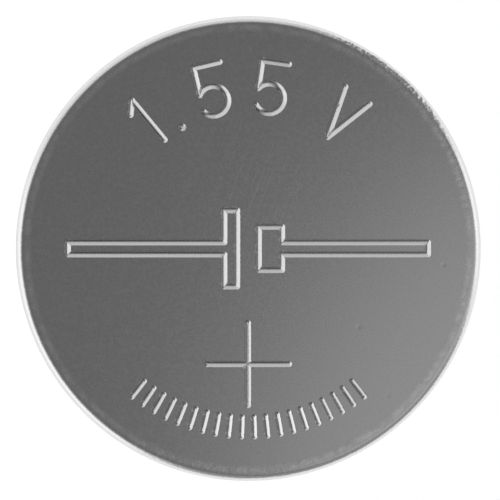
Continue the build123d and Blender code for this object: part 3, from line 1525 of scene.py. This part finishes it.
@dataclass
class SealingGasket:
    """The moulded gasket: the ring seen between can and cap, and the skirt that it hides."""

    finish: MouldedNylon
    lip_radius: float = 4.95 * MM
    contact_radius: float = 4.60 * MM
    face: float = 0.28 * MM
    bulge: float = 0.03 * MM
    bed: float = 0.45 * MM
    curl_radius: float = 0.45 * MM
    curl_inset: float = 0.15 * MM
    shoulder: float = 0.70 * MM
    shoulder_bend: float = 0.08 * MM
    step_foot: float = 4.82 * MM
    step_bend: float = 0.26 * MM
    ply: float = 5.08 * MM
    skirt: float = 5.30 * MM
    hem_end: float = 1.03 * MM
    fold: tuple[float, float] = (5.10 * MM, 1.83 * MM)
    fold_radius: float = 0.20 * MM
    mouth: float = 4.70 * MM
    cap_bore: float = 4.90 * MM
    inner_lip: float = 1.65 * MM
    edge_round: float = 0.04 * MM
    segments: int = 256

    def profile(self, radius: float, top: float) -> np.ndarray:
        """Gives the ring's outline: down its outside, in over its seen face and up against the cap.

        Args:
            radius: The outer radius, against the can's bore.
            top: The height of its upper side.

        Returns:
            Radius and height of each row, the first one repeated at the end.
        """
        soft = self.edge_round
        curl = (self.lip_radius + self.curl_inset, self.bed + self.curl_radius)
        contact, face, shoulder = self.contact_radius, self.face, self.shoulder
        bend = self.shoulder_bend
        foot, rise = self.step_foot, self.step_bend
        end, fold = self.hem_end, self.fold[1]
        bore, mouth = self.cap_bore, self.mouth + soft
        return outline(
            run((mouth, top), (radius, top), 3),
            run((radius, top), (radius, curl[1]), 5),
            arc(curl, self.curl_radius, 0, -90, 10),
            run((curl[0], self.bed), (self.lip_radius, self.bed), 1),
            run((self.lip_radius, self.bed), (self.lip_radius, face), 2),
            self.seen_face(),
            run((contact, face), (contact, shoulder - bend), 3),
            arc((contact + bend, shoulder - bend), bend, 180, 90, 4),
            run((contact + bend, shoulder), (foot, shoulder), 2),
            arc((foot, shoulder + rise), rise, -90, 0, 7),
            run((self.ply, shoulder + rise), (self.ply, end), 1),
            run((self.ply, end), (self.skirt, end), 2),
            run((self.skirt, end), (self.skirt, fold), 4),
            arc(self.fold, self.fold_radius, 0, 180, 12),
            run((bore, fold), (bore, self.inner_lip), 2),
            run((bore, self.inner_lip), (mouth, self.inner_lip), 2),
            arc((mouth, self.inner_lip + soft), soft, -90, -180, 4),
            arc((mouth, top - soft), soft, 180, 90, 4),
        )

    def seen_face(self) -> np.ndarray:
        """Gives the seen face: a level run less a bulge shaped as half a sine wave.

        Returns:
            Radius and height of each row.
        """
        share = np.linspace(0, 1, 13)
        radius = self.lip_radius + (self.contact_radius - self.lip_radius) * share
        return np.column_stack([radius, self.face - self.bulge * np.sin(math.pi * share)])

    def build(self) -> bpy.types.Object:
        """Builds the gasket in place of its solid and dresses it.

        Returns:
            The gasket's object.
        """
        _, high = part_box("sealing_gasket")
        piece = lathe(self.profile(high.x, high.z), self.segments).piece("gasket_ring")
        piece.data.materials.append(self.finish.material())
        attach(piece, BODY)
        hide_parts("sealing_gasket")
        return piece


@dataclass
class SealedContents:
    """The pieces sealed inside, which keep their solids."""

    finishes: dict[str, Finish] = field(
        default_factory=lambda: {
            "silver_oxide_cathode": PressedPowder(
                name="pressed_silver_oxide",
                low=(0.035, 0.032, 0.030),
                high=(0.085, 0.078, 0.070),
                roughness=(0.55, 0.80),
                metallic=(0.0, 0.0),
                grain_size=0.06 * MM,
                grain_depth=0.010 * MM,
            ),
            "barrier_membrane": ThinFilm(),
            "absorbent_separator": SoakedFelt(),
            "zinc_anode": PressedPowder(
                name="zinc_powder_gel",
                low=(0.24, 0.25, 0.27),
                high=(0.50, 0.51, 0.53),
                roughness=(0.25, 0.50),
                metallic=(0.1, 0.8),
                grain_size=0.11 * MM,
                grain_depth=0.020 * MM,
            ),
        }
    )

    def build(self) -> list[bpy.types.Object]:
        """Dresses each solid, which stays as it is.

        Returns:
            The objects of the solids.
        """
        dressed = []
        for node, finish in self.finishes.items():
            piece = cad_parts[node]
            piece.data.materials.clear()
            piece.data.materials.append(finish.material())
            dressed.append(piece)
        return dressed


# Studio


@dataclass(frozen=True)
class TentShade:
    """A greyer panel of the tent, which fades out at its sides and before the horizon."""

    turn: float
    width: tuple[float, float]
    level: float
    foot: tuple[float, float]


@dataclass
class Studio:
    """White table, pale tent with a grey card overhead, one soft lamp, and the camera above."""

    image_width: float = 500.0
    disc_radius: float = 232.5
    disc_centre: tuple[float, float] = (248.2, 248.5)
    camera_distance: float = 0.25
    sensor: float = 36.0
    outline_height: float = 3.40 * MM
    camera_reach: float = 10.0

    floor_radius: float = 1.2
    floor_steps: int = 96
    floor_drop: float = 0.01 * MM
    floor_albedo: float = 0.65
    floor_seen: float = 0.75
    floor_mirrored: float = 0.55

    card_level: float = 0.176
    card_edge: tuple[float, float] = (0.62, 0.84)
    card_lean: float = 0.09
    card_turn: float = 105.0
    tent_level: float = 1.30
    shades: tuple[TentShade, ...] = (
        TentShade(turn=-65, width=(0.45, 0.85), level=0.25, foot=(0.05, 0.16)),
        TentShade(turn=50, width=(0.87, 0.98), level=0.40, foot=(0.10, 0.25)),
        TentShade(turn=50.5, width=(0.968, 0.993), level=0.25, foot=(0.0, 0.06)),
        TentShade(turn=90, width=(0.85, 0.97), level=0.66, foot=(0.05, 0.30)),
        TentShade(turn=135, width=(0.82, 0.97), level=0.70, foot=(0.05, 0.20)),
    )

    lamp_size: float = 29.6 * MM
    lamp_height: float = 30 * MM
    lamp_away: float = 17.2 * MM
    lamp_turn: float = -34.0
    lamp_level: float = 0.285

    def build(self) -> None:
        """Sets the colour management, the tent, the table, the lamp and the camera."""
        bpy.context.scene.view_settings.view_transform = "Standard"
        self.tent()
        self.table()
        self.lamp()
        self.camera()

    def tent(self) -> None:
        """Lights the world by direction: a white band with greyer panels, and grey at both poles."""
        world = bpy.data.worlds.new("pale_tent")
        world.use_nodes = True
        bpy.context.scene.world = world
        recipe = Recipe(world.node_tree)
        direction = recipe.add("TexCoord").outputs["Generated"]
        level = recipe.parts("SeparateXYZ", direction)["Z"]
        rise = recipe.maths(Maths.LARGER, level, recipe.maths(Maths.TAKE, 0.0, level))
        tent = self.tent_level
        for shade in self.shades:
            side = recipe.spread(recipe.facing(direction, shade.turn), shade.width)
            above = recipe.spread(rise, shade.foot)
            held = recipe.spread(recipe.maths(Maths.TIMES, side, above), (0.0, 1.0), (1.0, shade.level))
            tent = recipe.maths(Maths.TIMES, tent, held)
        lean = recipe.maths(Maths.TIMES, recipe.facing(direction, self.card_turn), self.card_lean)
        whole = recipe.spread(
            recipe.maths(Maths.TAKE, rise, lean), self.card_edge, (tent, self.card_level)
        )

        light = recipe.add("Background")
        recipe.feed(light.inputs["Strength"], whole)
        recipe.feed(recipe.add("OutputWorld").inputs["Surface"], light.outputs[0])

    def table(self) -> None:
        """Lays a round white table that glows to the camera and in reflections, and takes shadows."""
        rim = arc((0, 0), self.floor_radius, 0, 360, self.floor_steps)[:-1]
        mesh = bpy.data.meshes.new("white_table")
        vertices = np.column_stack([rim, np.full(len(rim), -self.floor_drop)])
        mesh.from_pydata(vertices.tolist(), [], [list(range(len(rim)))])
        table = linked("white_table", mesh)
        material = bpy.data.materials.new("white_table")
        material.use_nodes = True
        recipe = Recipe(material.node_tree)
        matte = recipe.add("BsdfDiffuse")
        matte.inputs["Color"].default_value = (self.floor_albedo,) * 3 + (1,)
        rays = recipe.add("LightPath").outputs
        mirrored = recipe.maths(Maths.LARGER, rays["Is Glossy Ray"], rays["Is Transmission Ray"])
        glow = recipe.add("Emission")
        strength = recipe.maths(
            Maths.LARGER,
            recipe.maths(Maths.TIMES, rays["Is Camera Ray"], self.floor_seen),
            recipe.maths(Maths.TIMES, mirrored, self.floor_mirrored),
        )
        recipe.feed(glow.inputs["Strength"], strength)
        both = recipe.add("AddShader")
        recipe.feed(both.inputs[0], matte.outputs[0])
        recipe.feed(both.inputs[1], glow.outputs[0])
        one_sided = recipe.add("MixShader")
        recipe.feed(one_sided.inputs[0], recipe.add("NewGeometry").outputs["Backfacing"])
        recipe.feed(one_sided.inputs[1], both.outputs[0])
        recipe.feed(one_sided.inputs[2], recipe.add("BsdfTransparent").outputs[0])
        recipe.feed(recipe.add("OutputMaterial").inputs["Surface"], one_sided.outputs[0])
        mesh.materials.append(material)
        table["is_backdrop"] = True

    def lamp(self) -> None:
        """Hangs a round soft lamp beside the axis, so that its blurred edge fades across the face.

        Its power is the level times pi times the disc's area.
        """
        data = bpy.data.lights.new("soft_lamp", "AREA")
        data.shape = "DISK"
        data.size = self.lamp_size
        data.energy = self.lamp_level * math.pi * math.pi * (self.lamp_size / 2) ** 2
        lamp = linked("soft_lamp", data)
        angle = math.radians(self.lamp_turn)
        away = self.lamp_away
        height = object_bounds()[1][2] + self.lamp_height
        lamp.location = (away * math.cos(angle), away * math.sin(angle), height)

    def camera(self) -> None:
        """Puts the camera straight above, with the cell as large and as placed as in the picture.

        The lens is the sensor times the distance, over the width that the picture shows.
        """
        _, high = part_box("positive_can")
        pixel = high.x / self.disc_radius
        data = bpy.data.cameras.new("camera")
        data.sensor_width = self.sensor
        data.lens = self.sensor * self.camera_distance / (pixel * self.image_width)
        data.clip_start = self.camera_distance / 10
        data.clip_end = self.camera_reach
        camera = linked("camera", data)
        middle = self.image_width / 2
        aside = (middle - self.disc_centre[0]) * pixel
        up = (self.disc_centre[1] - middle) * pixel
        camera.location = (aside, up, self.outline_height + self.camera_distance)
        bpy.context.scene.camera = camera


def main() -> None:
    """Builds the cell piece by piece, then the studio, and logs each turned piece's triangle count."""
    logging.basicConfig(level=logging.INFO, format="%(name)s: %(message)s")
    EffectGroups().build()
    makers = (PositiveCan(PlatedSteel()), NegativeCap(CladSheet()), SealingGasket(MouldedNylon()))
    for maker in makers:
        piece = maker.build()
        triangles = sum(len(face.vertices) - 2 for face in piece.data.polygons)
        LOG.info("%s has %d triangles", piece.name, triangles)
    for piece in SealedContents().build():
        LOG.info("%s dressed", piece.name)
    Studio().build()
    LOG.info("studio set")


if __name__ == "__main__":
    main()
